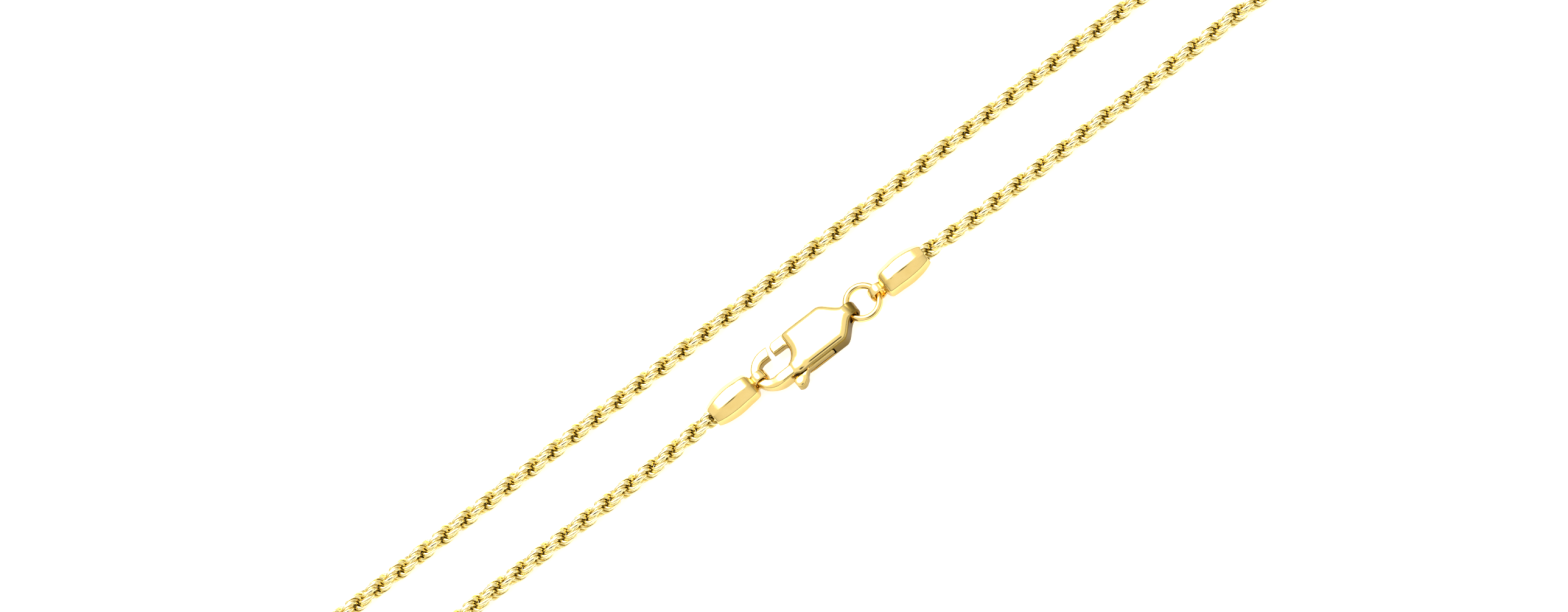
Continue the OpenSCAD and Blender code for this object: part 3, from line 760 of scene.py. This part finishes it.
def cap_points():
    """Outside: an octagon, a little wider than high, carried along the cap's middle line,
    (x, wider r y, r z + middle). Inside: a lip and a round bore."""
    y, z = octagon()
    x, r, middle = cap_sections().T[..., None]
    outside = np.stack([x + 0 * y, CAP_WIDER * r * y, r * z + middle], -1)
    x, r = np.array([(MOUTH_X - LIP_DEPTH, RIM_R * FLAT - LIP_IN), (MOUTH_X - BORE_DEPTH, BORE_R),
                     (MOUTH_X - ROPE_SEAT, BORE_R)]).T[..., None]
    y, z = y / np.hypot(y, z), z / np.hypot(y, z)
    return np.concatenate([outside, np.stack([x + 0 * y, r * y, r * z + CAP_Z], -1)])


def eye_points():
    """A band round Y: its section, a rectangle with corners rounded by EYE_EDGE, is carried
    round a circle, (r cos t, y, r sin t)."""
    t = np.linspace(0, 2 * np.pi, EYE_STEPS, endpoint=False)[:, None]
    w = np.linspace(0, 2 * np.pi, EYE_SIDES, endpoint=False)

    def section(v, half):
        """Along one axis: the corner's centre, on the side that v is on, and its round."""
        v = v.round(6)
        return np.sign(v) * (half - EYE_EDGE) + EYE_EDGE * v

    r = (EYE_R + EYE_HOLE_R) / 2 + section(np.cos(w), EYE_WALL / 2)
    y = section(np.sin(w), EYE_W / 2)
    return np.stack([r * np.cos(t), y + 0 * t, r * np.sin(t) + MID_Z], -1)


def cap_mesh(turn, at):
    """The cap's shell and its eye, turned about Z and put in their place on the clasp."""
    shell = cap_points()
    n, k = shell.shape[:2]
    points = np.concatenate([shell.reshape(-1, 3), eye_points().reshape(-1, 3)])
    faces = [grid_faces(n, k, wrap_cols=True), grid_faces(EYE_STEPS, EYE_SIDES, True, True) + n * k,
             np.arange(k)[None, ::-1], np.arange(k)[None] + (n - 1) * k]
    a = math.radians(turn)
    x, y, z = points.T
    points = np.stack([x * math.cos(a) - y * math.sin(a) + at[0] + CLASP_X,
                       x * math.sin(a) + y * math.cos(a) + at[1] + CLASP_Y, z], 1)
    return points, faces


def cap_painted_shade(points, side, at):
    """Where the wheel can't reach, rougher, with a darker colour painted as shade: a third of it on
    the cap's sides, and more than half in the corner between neck and eye."""
    from_eye = np.hypot(points[:, 0] - at[0] - CLASP_X, points[:, 1] - at[1] - CLASP_Y)
    at_neck = ease((from_eye - EYE_R + 0.1) / 0.1) * (1 - ease((from_eye - EYE_R - 0.1) / 0.7))
    return np.maximum(0.35 * side, 0.6 * at_neck)


for name, turn, at, node in (("cap_on_the_hook", 180 + CAP_TURN, HOOK_EYE, "hook_end_cap"),
                             ("cap_on_the_ring", 0.0, RING_EYE, "ring_end_cap")):
    points, faces = cap_mesh(turn, at)
    piece = make_piece(name, points, faces, CAP_GOLD, "necklace", [node])
    # Painted shade: each cap is darker, and rougher, on its sides and in the corner at its neck
    set_point_amount(piece, "rough_and_painted_shade", cap_painted_shade(points, sideways(piece), at))

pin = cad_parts["pivot_pin"]
pin.data.materials.clear()
pin.data.materials.append(PIN_GOLD)


# ---- Floor, light and camera ----

# The light table: half its side in metres, the size of its cloudy patches in millimetres,
# drawn coarse enough to show, and how much it glows
FLOOR_REACH, CLOUD_SIZE, TABLE_GLOW = 8.0, 1000 / 60, 0.65
# Light as elevation, azimuth, where it ends and where it is full in degrees from its middle,
# and level. Azimuth 0 is the camera's side, -Y, and 180 the far side
HORIZON_LEVEL, ROOM_LEVEL, ROOM_FULL_AT = 0.25, 1.0, 0.5
SOFTBOX, DARK_PATCH = (60, 180, 26, 4, 10.0), (60, 0, 19, 8, 0.95)


def make_floor():
    """A light table of sanded white acrylic, faintly lit from below: an even white without
    gloss or hard shadow, far larger than any view of the loop."""
    acrylic = bpy.data.materials.new("matt_white_acrylic")
    acrylic.use_nodes = True
    tree = acrylic.node_tree
    shader = tree.nodes["Principled BSDF"]
    shader.inputs["Roughness"].default_value = 0.7
    shader.inputs["Specular IOR Level"].default_value = 0.2
    place = add_node(tree, "ShaderNodeTexCoord")
    cloud = add_node(tree, "ShaderNodeTexNoise", {"Scale": 1 / (CLOUD_SIZE * MM), "Detail": 2.0},
                     {"Vector": place.outputs["Object"]})
    tone = add_node(tree, "ShaderNodeMix", {"data_type": "RGBA"}, {0: cloud.outputs["Fac"]})
    tone.inputs[6].default_value = linear("#D8D8D8")
    tone.inputs[7].default_value = linear("#DEDEDE")
    tree.links.new(tone.outputs[2], shader.inputs["Base Color"])
    shader.inputs["Emission Color"].default_value = linear("#FFFFFF")
    shader.inputs["Emission Strength"].default_value = TABLE_GLOW
    mesh = bpy.data.meshes.new("floor")
    corners = np.array([(-1, -1, 0), (1, -1, 0), (1, 1, 0), (-1, 1, 0)]) * FLOOR_REACH
    mesh.from_pydata(corners.tolist(), [], [(0, 1, 2, 3)])
    mesh.materials.append(acrylic)
    floor = bpy.data.objects.new("floor", mesh)
    bpy.context.scene.collection.objects.link(floor)


def studio_light():
    """A bright room round the loop. Its radiance rises from HORIZON_LEVEL at the horizon to
    ROOM_LEVEL above, a round softbox on the far side adds to it, and a round dark patch on
    the camera's side takes nearly all of it away, as a camera and its stand do."""
    world = bpy.data.worlds.new("studio")
    bpy.context.scene.world = world
    world.use_nodes = True
    tree = world.node_tree
    place = add_node(tree, "ShaderNodeTexCoord")
    way = place.outputs["Generated"]

    def towards(elevation, azimuth, outer, inner, value):
        """value within inner degrees of a direction, falling to 0 at outer degrees: a smooth
        step of the cosine between the two."""
        a, e = math.radians(azimuth), math.radians(elevation)
        dot = add_node(tree, "ShaderNodeVectorMath", {
            "operation": "DOT_PRODUCT",
            1: (math.sin(a) * math.cos(e), -math.cos(a) * math.cos(e), math.sin(e))}, {0: way})
        return add_node(tree, "ShaderNodeMapRange", {
            "interpolation_type": "SMOOTHSTEP", "From Min": math.cos(math.radians(outer)),
            "From Max": math.cos(math.radians(inner)), "To Min": 0.0, "To Max": value},
            {"Value": dot.outputs["Value"]}).outputs["Result"]

    def combine(operation, a, b):
        """One number from two, by a plain operation."""
        return add_node(tree, "ShaderNodeMath", {"operation": operation}, {0: a, 1: b}).outputs[0]

    height = add_node(tree, "ShaderNodeSeparateXYZ", (), {"Vector": way}).outputs["Z"]
    room = add_node(tree, "ShaderNodeMapRange", {
        "interpolation_type": "SMOOTHSTEP", "From Min": 0.0, "From Max": ROOM_FULL_AT,
        "To Min": HORIZON_LEVEL, "To Max": ROOM_LEVEL}, {"Value": height}).outputs["Result"]
    dim = combine("MULTIPLY", room, towards(*DARK_PATCH))
    level = combine("ADD", combine("SUBTRACT", room, dim), towards(*SOFTBOX))
    tree.links.new(level, tree.nodes["Background"].inputs["Strength"])
    tree.nodes["Background"].inputs["Color"].default_value = linear("#FFFFFF")


def make_camera():
    """A long lens from 60 degrees above the camera's side, rolled so that the strands rise
    to the right by 37.8 degrees, with 135.6 mm of them across the frame."""
    lens, sensor, view_w = 150.0, 36.0, 135.6
    roll, tilt = math.radians(37.8), math.radians(60)
    back = Vector((0, -math.cos(tilt), math.sin(tilt)))
    rise_way = Vector((0, math.sin(tilt), math.cos(tilt)))
    right = math.cos(roll) * Vector((1, 0, 0)) - math.sin(roll) * rise_way
    up = math.sin(roll) * Vector((1, 0, 0)) + math.cos(roll) * rise_way
    data = bpy.data.cameras.new("camera")
    data.lens, data.sensor_width = lens, sensor
    data.clip_start, data.clip_end = 0.01, 50.0
    camera = bpy.data.objects.new("camera", data)
    aim = Vector((-1.14, 1.03, 0.75)) * MM
    place = aim + back * view_w * MM * lens / sensor
    turn = Matrix((right, up, back)).transposed().to_4x4()
    camera.matrix_world = Matrix.Translation(place) @ turn
    bpy.context.scene.collection.objects.link(camera)
    bpy.context.scene.camera = camera


make_floor()
studio_light()
make_camera()
bpy.context.scene.view_settings.view_transform = "Standard"
